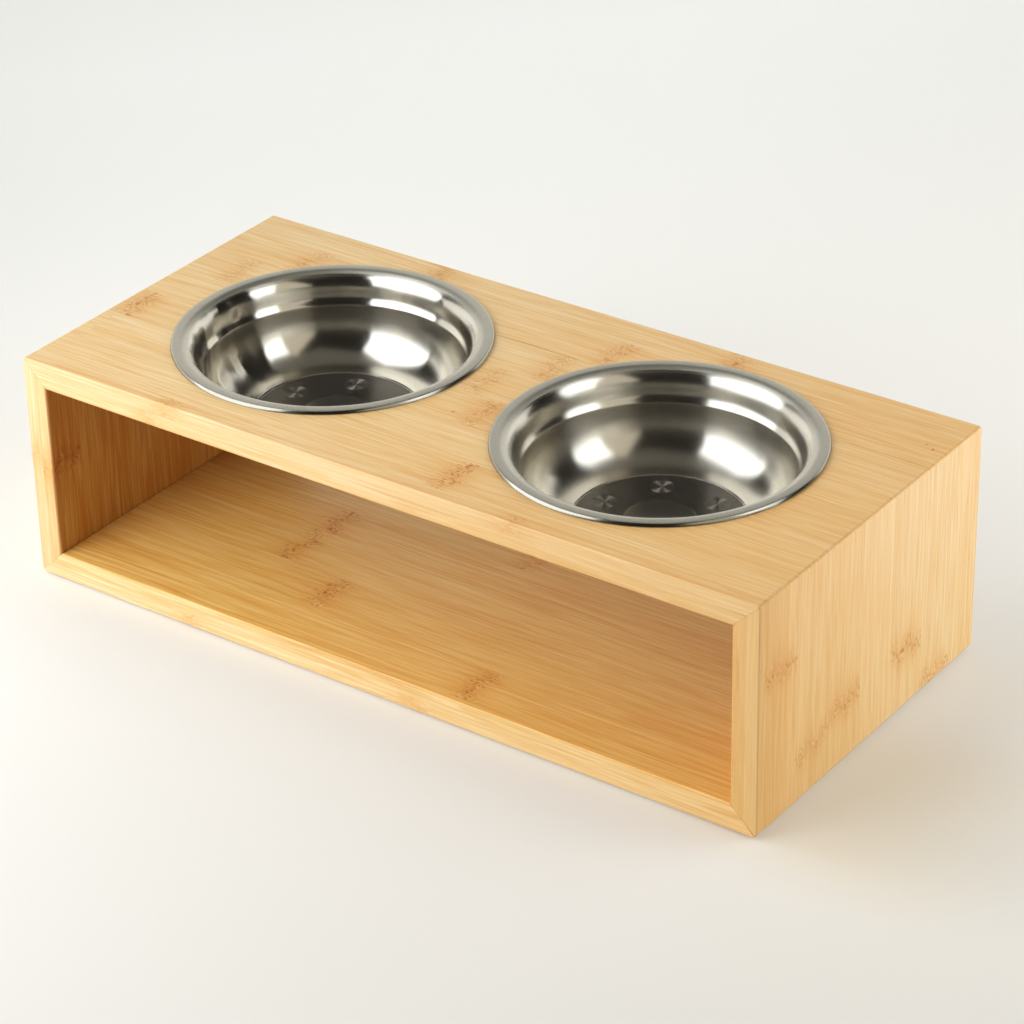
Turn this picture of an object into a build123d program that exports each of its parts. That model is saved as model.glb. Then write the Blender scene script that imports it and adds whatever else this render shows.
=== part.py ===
from build123d import *
import os
from math import sqrt

# Raised feeding stand: a bamboo box, open at the front and the back, with two
# steel bowls that drop into round cut-outs in its top.  The space under the
# bowls is an open storage bay.
#
# Frame: +X along the length, +Y from the front to the back, +Z up.  The origin
# is on the ground, under the middle of the stand.  All dimensions are in mm.

os.makedirs("parts", exist_ok=True)

# ---------------------------------------------------------------- dimensions
LENGTH = 400.0          # of the bamboo box, along X
DEPTH = 183.6           # along Y
BOX_H = 114.2           # of the bamboo box alone
PANEL_T = 13.3          # thickness of every board
R_TOP = 1.9             # rounding of the two long outer corners at the top
R_BOTTOM = 3.0          # rounding of the two long outer corners at the bottom
R_ARRIS = 0.8           # rounding of the front and back edges

PAD_H = 1.0             # non-slip pads, which lift the box off the ground
PAD_D = 14.0
PAD_INSET = 15.0        # pad centre from the box's sides

SPLINE_T = 3.0          # loose tongue across each mitre
SPLINE_W = 10.0
SPLINE_L = 150.0
SPLINE_AT = 11.4        # from the outer corner, along the mitre
GLUE_GAP = 0.3          # left beyond each edge and end of the tongue

BOWL_X = 90.5           # cut-out centres, either side of the middle
BOWL_Y = 1.6
CUTOUT_R = 70.0
SEAT_PLAY = -1.0        # the bowls sit this far off their cut-outs' centres

SHEET = 0.7             # bowl sheet thickness
RIM_R = 75.2            # outer radius of the turned-down rim
RIM_H = 1.7             # rim height above the board

Z0 = PAD_H                       # underside of the box
Z1 = PAD_H + BOX_H               # upper face of the box
HALF_L = LENGTH / 2
HALF_D = DEPTH / 2
MID_Z = (Z0 + Z1) / 2

# ------------------------------------------------- the box, before it is cut
# One square tube along Y.  The four boards are cut out of it at 45 degrees, so
# their mitres meet face to face and the corner roundings run through.
with BuildPart() as tube:
    with BuildSketch(Plane.XZ.offset(-HALF_D)) as tube_section:
        with BuildLine() as outline:
            l1 = Line((-HALF_L + R_BOTTOM, Z0), (HALF_L - R_BOTTOM, Z0))
            a1 = TangentArc(l1 @ 1, (HALF_L, Z0 + R_BOTTOM), tangent=l1 % 1)
            l2 = Line(a1 @ 1, (HALF_L, Z1 - R_TOP))
            a2 = TangentArc(l2 @ 1, (HALF_L - R_TOP, Z1), tangent=l2 % 1)
            l3 = Line(a2 @ 1, (-HALF_L + R_TOP, Z1))
            a3 = TangentArc(l3 @ 1, (-HALF_L, Z1 - R_TOP), tangent=l3 % 1)
            l4 = Line(a3 @ 1, (-HALF_L, Z0 + R_BOTTOM))
            a4 = TangentArc(l4 @ 1, (-HALF_L + R_BOTTOM, Z0), tangent=l4 % 1)
        make_face()
        with Locations((0, MID_Z)):
            Rectangle(LENGTH - 2 * PANEL_T, BOX_H - 2 * PANEL_T, mode=Mode.SUBTRACT)
    extrude(amount=DEPTH)
    front_and_back = tube.faces().filter_by(Axis.Y).sort_by(Axis.Y)
    fillet(front_and_back[0].edges() + front_and_back[-1].edges(), radius=R_ARRIS)

# The mitre planes, each through an outer corner and the inner corner below it.
# Their normals point into the top or the bottom board.
S = 1 / sqrt(2)
MID_PLANE = Plane.XY.offset(MID_Z)
MITRE_TL = Plane(origin=(-HALF_L, 0, Z1), x_dir=(0, 1, 0), z_dir=(S, 0, S))
MITRE_TR = Plane(origin=(HALF_L, 0, Z1), x_dir=(0, 1, 0), z_dir=(-S, 0, S))
MITRE_BL = Plane(origin=(-HALF_L, 0, Z0), x_dir=(0, 1, 0), z_dir=(S, 0, -S))
MITRE_BR = Plane(origin=(HALF_L, 0, Z0), x_dir=(0, 1, 0), z_dir=(-S, 0, -S))


def inward(mitre, sx, sz, at=SPLINE_AT):
    """The same plane, with its origin moved along the mitre to the tongue's centre."""
    o = mitre.origin
    return Plane(origin=(o.X + sx * at * S, 0, o.Z + sz * at * S), x_dir=(0, 1, 0), z_dir=mitre.z_dir)


SEAT_TL = inward(MITRE_TL, 1, -1)
SEAT_TR = inward(MITRE_TR, -1, -1)
SEAT_BL = inward(MITRE_BL, 1, 1)
SEAT_BR = inward(MITRE_BR, -1, 1)

# ------------------------------------------------------------------- boards
with BuildPart() as top_panel:
    add(tube.part)
    split(bisect_by=MID_PLANE, keep=Keep.TOP)
    split(bisect_by=MITRE_TL, keep=Keep.TOP)
    split(bisect_by=MITRE_TR, keep=Keep.TOP)
    with BuildSketch(Plane.XY.offset(Z1 + 5)) as cutouts:
        with Locations((-BOWL_X, BOWL_Y), (BOWL_X, BOWL_Y)):
            Circle(CUTOUT_R)
    extrude(amount=-(PANEL_T + 10), mode=Mode.SUBTRACT)
    cut_edges = top_panel.edges().filter_by(GeomType.CIRCLE).filter_by(
        lambda e: abs(e.radius - CUTOUT_R) < 1e-3)
    fillet(cut_edges, radius=0.6)
    # grooves for the tongues, stopped short of the front and the back
    for seat in (SEAT_TL, SEAT_TR):
        with BuildSketch(seat):
            Rectangle(SPLINE_L + 2 * GLUE_GAP, SPLINE_T)
        extrude(amount=SPLINE_W / 2 + GLUE_GAP, both=True, mode=Mode.SUBTRACT)

with BuildPart() as bottom_panel:
    add(tube.part)
    split(bisect_by=MID_PLANE, keep=Keep.BOTTOM)
    split(bisect_by=MITRE_BL, keep=Keep.TOP)
    split(bisect_by=MITRE_BR, keep=Keep.TOP)
    for seat in (SEAT_BL, SEAT_BR):
        with BuildSketch(seat):
            Rectangle(SPLINE_L + 2 * GLUE_GAP, SPLINE_T)
        extrude(amount=SPLINE_W / 2 + GLUE_GAP, both=True, mode=Mode.SUBTRACT)

with BuildPart() as left_panel:
    add(tube.part)
    split(bisect_by=MITRE_TL, keep=Keep.BOTTOM)
    split(bisect_by=MITRE_BL, keep=Keep.BOTTOM)
    for seat in (SEAT_TL, SEAT_BL):
        with BuildSketch(seat):
            Rectangle(SPLINE_L + 2 * GLUE_GAP, SPLINE_T)
        extrude(amount=SPLINE_W / 2 + GLUE_GAP, both=True, mode=Mode.SUBTRACT)

with BuildPart() as right_panel:
    add(tube.part)
    split(bisect_by=MITRE_TR, keep=Keep.BOTTOM)
    split(bisect_by=MITRE_BR, keep=Keep.BOTTOM)
    for seat in (SEAT_TR, SEAT_BR):
        with BuildSketch(seat):
            Rectangle(SPLINE_L + 2 * GLUE_GAP, SPLINE_T)
        extrude(amount=SPLINE_W / 2 + GLUE_GAP, both=True, mode=Mode.SUBTRACT)

# ------------------------------------------------------- tongues in the mitres
with BuildPart() as mitre_spline_top_left:
    with BuildSketch(SEAT_TL):
        Rectangle(SPLINE_L, SPLINE_T)
    extrude(amount=SPLINE_W / 2, both=True)
    chamfer(mitre_spline_top_left.edges().filter_by(Axis.Y), length=0.4)

with BuildPart() as mitre_spline_top_right:
    with BuildSketch(SEAT_TR):
        Rectangle(SPLINE_L, SPLINE_T)
    extrude(amount=SPLINE_W / 2, both=True)
    chamfer(mitre_spline_top_right.edges().filter_by(Axis.Y), length=0.4)

with BuildPart() as mitre_spline_bottom_left:
    with BuildSketch(SEAT_BL):
        Rectangle(SPLINE_L, SPLINE_T)
    extrude(amount=SPLINE_W / 2, both=True)
    chamfer(mitre_spline_bottom_left.edges().filter_by(Axis.Y), length=0.4)

with BuildPart() as mitre_spline_bottom_right:
    with BuildSketch(SEAT_BR):
        Rectangle(SPLINE_L, SPLINE_T)
    extrude(amount=SPLINE_W / 2, both=True)
    chamfer(mitre_spline_bottom_right.edges().filter_by(Axis.Y), length=0.4)

# -------------------------------------------------------------------- bowls
# The upper and inner face of the pressed sheet, from the foot of the turned-down
# rim to the middle of the bottom, as (radius, height above the board).  The
# sheet's other face is the same line, one sheet thickness away.
WALL = [
    (RIM_R, 0.0),
    (RIM_R, RIM_H),
    (69.66, RIM_H),
    (64.27, -1.31),
    (63.01, -10.28),
    (61.1, -13.0),
    (60.9, -38.3),
    (40.2, -38.5),
    (39.4, -38.9),
    (17.3, -38.9),
    (16.2, -38.4),
    (0.0, -38.4),
]
WALL_R = [1.5, 4.8, 9.0, 6.0, 1.2, 20.0, 0.8, 0.6, 1.4, 1.4]

with BuildPart() as bowl_left:
    with BuildSketch(Plane(origin=(-BOWL_X + SEAT_PLAY, BOWL_Y, Z1), x_dir=(1, 0, 0), z_dir=(0, -1, 0))):
        with BuildLine():
            FilletPolyline(*WALL, radius=WALL_R)
            offset(amount=SHEET, side=Side.LEFT, closed=True)
        make_face()
    revolve(axis=Axis((-BOWL_X + SEAT_PLAY, BOWL_Y, 0), (0, 0, 1)))

with BuildPart() as bowl_right:
    with BuildSketch(Plane(origin=(BOWL_X + SEAT_PLAY, BOWL_Y, Z1), x_dir=(1, 0, 0), z_dir=(0, -1, 0))):
        with BuildLine():
            FilletPolyline(*WALL, radius=WALL_R)
            offset(amount=SHEET, side=Side.LEFT, closed=True)
        make_face()
    revolve(axis=Axis((BOWL_X + SEAT_PLAY, BOWL_Y, 0), (0, 0, 1)))

# --------------------------------------------------------------- foot pads
PAD_X = HALF_L - PAD_INSET
PAD_Y = HALF_D - PAD_INSET

with BuildPart() as foot_pad_front_left:
    with BuildSketch(Plane.XY):
        with Locations((-PAD_X, -PAD_Y)):
            Circle(PAD_D / 2)
    extrude(amount=PAD_H)
    fillet(foot_pad_front_left.edges().group_by(Axis.Z)[0], radius=0.4)

with BuildPart() as foot_pad_front_right:
    with BuildSketch(Plane.XY):
        with Locations((PAD_X, -PAD_Y)):
            Circle(PAD_D / 2)
    extrude(amount=PAD_H)
    fillet(foot_pad_front_right.edges().group_by(Axis.Z)[0], radius=0.4)

with BuildPart() as foot_pad_back_left:
    with BuildSketch(Plane.XY):
        with Locations((-PAD_X, PAD_Y)):
            Circle(PAD_D / 2)
    extrude(amount=PAD_H)
    fillet(foot_pad_back_left.edges().group_by(Axis.Z)[0], radius=0.4)

with BuildPart() as foot_pad_back_right:
    with BuildSketch(Plane.XY):
        with Locations((PAD_X, PAD_Y)):
            Circle(PAD_D / 2)
    extrude(amount=PAD_H)
    fillet(foot_pad_back_right.edges().group_by(Axis.Z)[0], radius=0.4)

# ------------------------------------------------------------------- output
top_panel.part.label = "top_panel"
bottom_panel.part.label = "bottom_panel"
left_panel.part.label = "left_panel"
right_panel.part.label = "right_panel"
mitre_spline_top_left.part.label = "mitre_spline_top_left"
mitre_spline_top_right.part.label = "mitre_spline_top_right"
mitre_spline_bottom_left.part.label = "mitre_spline_bottom_left"
mitre_spline_bottom_right.part.label = "mitre_spline_bottom_right"
bowl_left.part.label = "bowl_left"
bowl_right.part.label = "bowl_right"
foot_pad_front_left.part.label = "foot_pad_front_left"
foot_pad_front_right.part.label = "foot_pad_front_right"
foot_pad_back_left.part.label = "foot_pad_back_left"
foot_pad_back_right.part.label = "foot_pad_back_right"

export_step(top_panel.part, "parts/top_panel.step")
export_step(bottom_panel.part, "parts/bottom_panel.step")
export_step(left_panel.part, "parts/left_panel.step")
export_step(right_panel.part, "parts/right_panel.step")
export_step(mitre_spline_top_left.part, "parts/mitre_spline_top_left.step")
export_step(mitre_spline_top_right.part, "parts/mitre_spline_top_right.step")
export_step(mitre_spline_bottom_left.part, "parts/mitre_spline_bottom_left.step")
export_step(mitre_spline_bottom_right.part, "parts/mitre_spline_bottom_right.step")
export_step(bowl_left.part, "parts/bowl_left.step")
export_step(bowl_right.part, "parts/bowl_right.step")
export_step(foot_pad_front_left.part, "parts/foot_pad_front_left.step")
export_step(foot_pad_front_right.part, "parts/foot_pad_front_right.step")
export_step(foot_pad_back_left.part, "parts/foot_pad_back_left.step")
export_step(foot_pad_back_right.part, "parts/foot_pad_back_right.step")
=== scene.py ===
import bpy
import math
import numpy as np
from mathutils import Matrix, Vector
from mathutils.geometry import delaunay_2d_cdt


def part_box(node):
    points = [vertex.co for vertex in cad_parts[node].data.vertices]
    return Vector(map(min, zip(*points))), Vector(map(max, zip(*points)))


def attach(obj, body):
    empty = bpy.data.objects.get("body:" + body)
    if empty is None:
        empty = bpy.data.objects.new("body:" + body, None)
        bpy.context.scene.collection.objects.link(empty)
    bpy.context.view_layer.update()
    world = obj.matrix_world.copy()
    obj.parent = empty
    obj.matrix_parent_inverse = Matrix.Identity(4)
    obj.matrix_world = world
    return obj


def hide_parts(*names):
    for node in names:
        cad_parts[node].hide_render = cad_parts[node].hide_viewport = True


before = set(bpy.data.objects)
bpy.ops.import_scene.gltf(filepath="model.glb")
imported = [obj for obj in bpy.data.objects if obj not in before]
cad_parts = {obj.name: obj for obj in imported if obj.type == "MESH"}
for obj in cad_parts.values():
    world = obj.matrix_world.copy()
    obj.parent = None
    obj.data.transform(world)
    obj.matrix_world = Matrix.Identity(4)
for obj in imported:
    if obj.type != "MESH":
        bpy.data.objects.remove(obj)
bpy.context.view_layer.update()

# Raised feeding stand: a bamboo box, open at the front and the back, with two
# steel bowls that drop into its top.  Everything below is worked out in
# millimetres in the frame of the CAD model, and scaled to metres in the mesh.

MM = 0.001

# ------------------------------------------------------------ sizes of the frame
_, right_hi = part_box("right_panel")
top_lo, top_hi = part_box("top_panel")
bot_lo, bot_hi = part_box("bottom_panel")
HALF_L = right_hi.x / MM                  # 200
HALF_D = right_hi.y / MM                  # 91.8
Z1 = top_hi.z / MM                        # 115.2, upper face of the box
Z0 = bot_lo.z / MM                        # 1.0, underside of the box
T = (top_hi.z - top_lo.z) / MM            # 13.3, thickness of a board
MID_Z = (Z0 + Z1) / 2
HALF_H = (Z1 - Z0) / 2
R_TOP = 1.9                               # rounding of the long outer corners
R_BOTTOM = 3.0
R_ARRIS = 0.8                             # rounding of the front and back edges
PLY = T / 2                               # every board is two plies of strips
PITCH = 26.3                              # width of a bamboo strip
CUT_X, CUT_Y, CUT_R = 90.5, 1.6, 70.0     # the two round cut-outs
SPLINE_AT, SPLINE_T, SPLINE_L, SPLINE_W, GLUE = 11.4, 3.0, 150.0, 10.0, 0.3


# =========================================================== mesh building
class Build:
    """Collects points and faces, with the true normal of the surface at each corner of a face."""

    def __init__(self):
        self.co, self.faces, self.mats, self.normals = [], [], [], []

    def point(self, p):
        self.co.append(tuple(p))
        return len(self.co) - 1

    def face(self, idx, normals, mat=0):
        """normals: one vector for the whole face, or one for each corner."""
        if not isinstance(normals[0], (tuple, list, np.ndarray, Vector)):
            normals = [normals] * len(idx)
        # turn the face so that it looks along its normals
        p = [np.array(self.co[i], float) for i in idx]
        nw = np.zeros(3)
        for a, b in zip(p, p[1:] + p[:1]):
            nw += np.cross(a - p[0], b - p[0])
        want = np.sum([np.array(n, float) for n in normals], axis=0)
        if nw @ want < 0:
            idx, normals = idx[::-1], normals[::-1]
        self.faces.append(list(idx))
        self.mats.append(mat)
        self.normals.append([tuple(n) for n in normals])

    def lathe(self, axis, path, path_normals, mats, n_seg, dip=None):
        """Turns a path of (r, z) round a vertical axis.  path_normals are (nr, nz) at both ends of each part of it."""
        cx, cy = axis
        ang = 2 * np.pi * np.arange(n_seg) / n_seg
        ca, sa = np.cos(ang), np.sin(ang)
        nxt = (np.arange(n_seg) + 1) % n_seg
        first = []
        for r, z in path:
            first.append(len(self.co))
            if r < 1e-6:
                self.co.append((cx, cy, z))
                continue
            zz = np.full(n_seg, z) if dip is None else z + dip(r, z, ang)
            self.co += list(zip((cx + r * ca).tolist(), (cy + r * sa).tolist(), zz.tolist()))
        for i in range(len(path) - 1):
            (ra, za), (rb, zb) = path[i], path[i + 1]
            na, nb = path_normals[i]
            n0 = np.stack([na[0] * ca, na[0] * sa, np.full(n_seg, na[1])], 1)
            n1 = np.stack([nb[0] * ca, nb[0] * sa, np.full(n_seg, nb[1])], 1)
            # a quad a0 a1 b1 b0 turned this way looks along (zb - za, -(rb - ra)) in (r, z)
            flip = (zb - za) * (na[0] + nb[0]) - (rb - ra) * (na[1] + nb[1]) < 0
            A, B = first[i], first[i + 1]
            s = np.arange(n_seg)
            if ra < 1e-6:
                idx = [np.full(n_seg, A), B + s, B + nxt]
                nn = [np.tile((0.0, 0.0, na[1]), (n_seg, 1)), n1, n1[nxt]]
                flip = not flip
            elif rb < 1e-6:
                idx = [A + s, A + nxt, np.full(n_seg, B)]
                nn = [n0, n0[nxt], np.tile((0.0, 0.0, nb[1]), (n_seg, 1))]
            else:
                idx = [A + s, A + nxt, B + nxt, B + s]
                nn = [n0, n0[nxt], n1[nxt], n1]
            if flip:
                idx, nn = idx[::-1], nn[::-1]
            self.faces += np.stack(idx, 1).tolist()
            self.normals += np.stack(nn, 1).tolist()
            self.mats += [mats[i]] * n_seg

    def object(self, name, materials):
        me = bpy.data.meshes.new(name)
        me.from_pydata((np.array(self.co) * MM).tolist(), [], self.faces)
        for m in materials:
            me.materials.append(m)
        me.polygons.foreach_set("material_index", self.mats)
        me.polygons.foreach_set("use_smooth", [True] * len(self.faces))
        flat = np.array([n for f in self.normals for n in f])
        flat /= np.linalg.norm(flat, axis=1)[:, None]
        me.normals_split_custom_set(flat.tolist())
        me.update()
        ob = bpy.data.objects.new(name, me)
        bpy.context.scene.collection.objects.link(ob)
        return ob


# ------------------------------------------------------------------ boards
S45 = math.sqrt(0.5)
PHI = [math.radians(a) for a in (0, 18, 36, 54, 72, 90)]
Y_BODY = [HALF_D - R_ARRIS, HALF_D - 3.0, HALF_D - 8.0, SPLINE_L / 2 + GLUE]
PK0 = (SPLINE_AT - SPLINE_T / 2) * S45    # the groove's two edges on the mitre
PK1 = (SPLINE_AT + SPLINE_T / 2) * S45
ARC_N = 6


def y_stations():
    """(y, inset of the section, angle of the edge rounding, side) from the front to the back."""
    out = []
    for ph in PHI:
        out.append((-(HALF_D - R_ARRIS + R_ARRIS * math.cos(ph)), R_ARRIS * (1 - math.sin(ph)), ph, -1))
    out += [(-y, 0.0, math.pi / 2, -1) for y in Y_BODY[1:]]
    out += [(y, 0.0, math.pi / 2, 1) for y in Y_BODY[:0:-1]]
    for ph in PHI[::-1]:
        out.append((HALF_D - R_ARRIS + R_ARRIS * math.cos(ph), R_ARRIS * (1 - math.sin(ph)), ph, 1))
    return out


def board(name, half, r_plus, r_minus, place, turn, material, holes=(), gaps=None):
    """One board from mitre to mitre.  l runs along it, t from its outer face inwards, y from front to back.
    place(l, t, y) gives the point and turn(nl, nt, ny) the direction in the frame."""
    b = Build()
    gaps = gaps or {}
    groove = SPLINE_W / 2 + GLUE

    def recess(end, t, y, ta, tb):
        """How far the mitre face lies back from the true mitre: hair-fine eased edges, and an open joint where there is one."""
        e = min(t - ta, tb - t, HALF_D - abs(y))
        g = 0.05 * max(0.0, 1 - e / 0.15)
        g += 0.11 * max(0.0, 1 - (tb - t) / 0.6)
        if end in gaps:
            g += gaps[end](t, y)
        return g

    def section(y, d):
        """Points (l, t), normals (nl, nt) of the section at inset d, and the index where each part starts."""
        pts, nrm, mark = [], [], {}
        mark["arc+"] = 0
        for k in range(ARC_N + 1):
            a = math.pi / 4 * (1 - k / ARC_N)
            pts.append((half - r_plus + (r_plus - d) * math.sin(a), r_plus - (r_plus - d) * math.cos(a)))
            nrm.append((math.sin(a), -math.cos(a)))
        mark["arc-"] = len(pts)
        for k in range(ARC_N + 1):
            a = math.pi / 4 * k / ARC_N
            pts.append((-(half - r_minus) - (r_minus - d) * math.sin(a), r_minus - (r_minus - d) * math.cos(a)))
            nrm.append((-math.sin(a), -math.cos(a)))
        tb = T - d
        for end, r in (("-", r_minus), ("+", r_plus)):
            ta = r - (r - d) * S45
            ts = [ta, ta + 0.15, 2.4, 4.5, PLY, PK0, PK1, 11.0, tb - 0.15, tb]
            if end == "-":
                mark["mitre-"] = len(pts) - 1
                l, t = pts[-1]
                pts[-1] = (l + recess(end, ta, y, ta, tb), t)
                for t in ts[1:]:
                    pts.append((-(half - t) + recess(end, t, y, ta, tb), t))
                    nrm.append((0.0, 1.0))
                mark["inner"] = len(pts) - 1
            else:
                mark["mitre+"] = len(pts)
                for t in ts[:0:-1]:
                    pts.append((half - t - recess(end, t, y, ta, tb), t))
                    nrm.append((0.0, 1.0))
                l, t = pts[0]
                pts[0] = (l - recess(end, ta, y, ta, tb), t)
        return pts, nrm, mark

    ys = y_stations()
    grid, norms = [], []
    for y, d, ph, side in ys:
        pts, nrm, mark = section(y, d)
        grid.append([b.point(place(l, t, y)) for l, t in pts])
        norms.append([(nl * math.sin(ph), nt * math.sin(ph), side * math.cos(ph)) for nl, nt in nrm])
    n = len(grid[0])
    mit_minus = range(mark["mitre-"], mark["inner"])
    mit_plus = range(mark["mitre+"], n)
    outer_flat, inner_flat = mark["arc-"] - 1, mark["inner"]
    body0, body1 = len(PHI) - 1, len(ys) - len(PHI)
    pocket_row = next(j for j in range(len(ys) - 1) if abs(ys[j][0] + ys[j + 1][0]) < 1e-6)

    for j in range(len(ys) - 1):
        for i in range(n):
            k = (i + 1) % n
            quad = [grid[j][i], grid[j][k], grid[j + 1][k], grid[j + 1][i]]
            if i in mit_minus or i in mit_plus:
                end = "-" if i in mit_minus else "+"
                nn = turn(-S45, S45, 0) if end == "-" else turn(S45, S45, 0)
                step = i - mark["mitre-"] if end == "-" else n - 1 - i
                if j == pocket_row and step == 5:
                    # the groove for the tongue, cut square to the mitre
                    deep = -np.array(nn) * groove
                    low = [b.point(np.array(b.co[q]) + deep) for q in quad]
                    b.face(low, nn)
                    mid = np.mean([b.co[q] for q in quad], axis=0)
                    for a in range(4):
                        c = (a + 1) % 4
                        pa, pc = np.array(b.co[quad[a]]), np.array(b.co[quad[c]])
                        inward = mid - (pa + pc) / 2
                        b.face([quad[a], quad[c], low[c], low[a]], tuple(inward / np.linalg.norm(inward)))
                    continue
                b.face(quad, nn)
                continue
            if i in (outer_flat, inner_flat) and holes and body0 <= j < body1:
                continue
            b.face(quad, [turn(*norms[j][i]), turn(*norms[j][k]), turn(*norms[j + 1][k]), turn(*norms[j + 1][i])])
    b.face(grid[0], turn(0, 0, -1))
    b.face(grid[-1], turn(0, 0, 1))

    if holes:
        ns, ease = 192, 0.6
        rings = []
        for cx, cy, r in holes:
            prof = []
            for k in range(5):
                a = math.pi / 2 * k / 4
                prof.append((r + ease - ease * math.sin(a), ease - ease * math.cos(a), (-math.sin(a), -math.cos(a))))
            prof.append((r, PLY, (-1.0, 0.0)))
            for k in range(4, -1, -1):
                a = math.pi / 2 * k / 4
                prof.append((r + ease - ease * math.sin(a), T - ease + ease * math.cos(a), (-math.sin(a), math.cos(a))))
            ring = [[b.point(place(cx + rr * math.cos(2 * math.pi * s / ns), t, cy + rr * math.sin(2 * math.pi * s / ns)))
                     for s in range(ns)] for rr, t, _ in prof]
            for m in range(len(prof) - 1):
                for s in range(ns):
                    q = (s + 1) % ns
                    cs = [(m, s), (m, q), (m + 1, q), (m + 1, s)]
                    nn = []
                    for mm, ss in cs:
                        nr, nt = prof[mm][2]
                        a = 2 * math.pi * ss / ns
                        nn.append(turn(nr * math.cos(a), nt, nr * math.sin(a)))
                    b.face([ring[mm][ss] for mm, ss in cs], nn)
            rings.append((ring[0], ring[-1]))
        for col, which, nt in ((outer_flat, 0, -1.0), (inner_flat, 1, 1.0)):
            rim = [grid[j][col] for j in range(body0, body1 + 1)] + [grid[j][col + 1] for j in range(body1, body0 - 1, -1)]
            loops = [rim] + [r[which] for r in rings]
            ids = [v for loop in loops for v in loop]
            pos = [Vector((b.co[v][0], b.co[v][1])) for v in ids]
            edges, at = [], 0
            for loop in loops:
                m = len(loop)
                edges += [(at + k, at + (k + 1) % m) for k in range(m)]
                at += m
            v2, _, f2, orig, _, _ = delaunay_2d_cdt(pos, edges, [], 1, 1e-7)
            back = [ids[o[0]] for o in orig]
            for f in f2:
                c = np.mean([v2[k] for k in f], axis=0)
                if all(math.hypot(c[0] - cx, c[1] - cy) > r + 0.3 for cx, cy, r in holes):
                    b.face([back[k] for k in f], turn(0, nt, 0))
    return b.object(name, [material])


# ================================================================ materials
class E:
    """A value in a shader: a number or an output socket, with the usual arithmetic."""

    def __init__(self, tree, v):
        self.tree, self.v = tree, v

    def _op(self, op, *others, clamp=False):
        node = self.tree.nodes.new("ShaderNodeMath")
        node.operation = op
        node.use_clamp = clamp
        for k, x in enumerate((self,) + others):
            x = x.v if isinstance(x, E) else x
            if isinstance(x, (int, float)):
                node.inputs[k].default_value = float(x)
            else:
                self.tree.links.new(x, node.inputs[k])
        return E(self.tree, node.outputs[0])

    def __add__(self, o): return self._op("ADD", o)
    __radd__ = __add__
    def __mul__(self, o): return self._op("MULTIPLY", o)
    __rmul__ = __mul__
    def __sub__(self, o): return self._op("SUBTRACT", o)
    def __rsub__(self, o): return E(self.tree, o)._op("SUBTRACT", self)
    def __truediv__(self, o): return self._op("DIVIDE", o)
    def __neg__(self): return self * -1.0
    def abs(self): return self._op("ABSOLUTE")
    def floor(self): return self._op("FLOOR")
    def fract(self): return self._op("FRACT")
    def min(self, o): return self._op("MINIMUM", o)
    def max(self, o): return self._op("MAXIMUM", o)
    def gt(self, o): return self._op("GREATER_THAN", o)
    def exp(self): return self._op("EXPONENT")
    def sqrt(self): return self._op("SQRT")
    def sin(self): return self._op("SINE")
    def cos(self): return self._op("COSINE")
    def atan2(self, o): return self._op("ARCTAN2", o)
    def clamp(self): return self._op("ADD", 0.0, clamp=True)

    def step(self, a, b):
        """Smooth step from 0 at a to 1 at b."""
        node = self.tree.nodes.new("ShaderNodeMapRange")
        node.interpolation_type = "SMOOTHSTEP"
        self.tree.links.new(self.v, node.inputs["Value"])
        lo, hi, t0, t1 = (a, b, 0.0, 1.0) if a < b else (b, a, 1.0, 0.0)
        node.inputs["From Min"].default_value = lo
        node.inputs["From Max"].default_value = hi
        node.inputs["To Min"].default_value = t0
        node.inputs["To Max"].default_value = t1
        return E(self.tree, node.outputs["Result"])

    def bell(self, width):
        """A bump of height 1 round zero, of that half width."""
        x = self * (1.0 / width)
        return (x * x * -0.5).exp()


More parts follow.
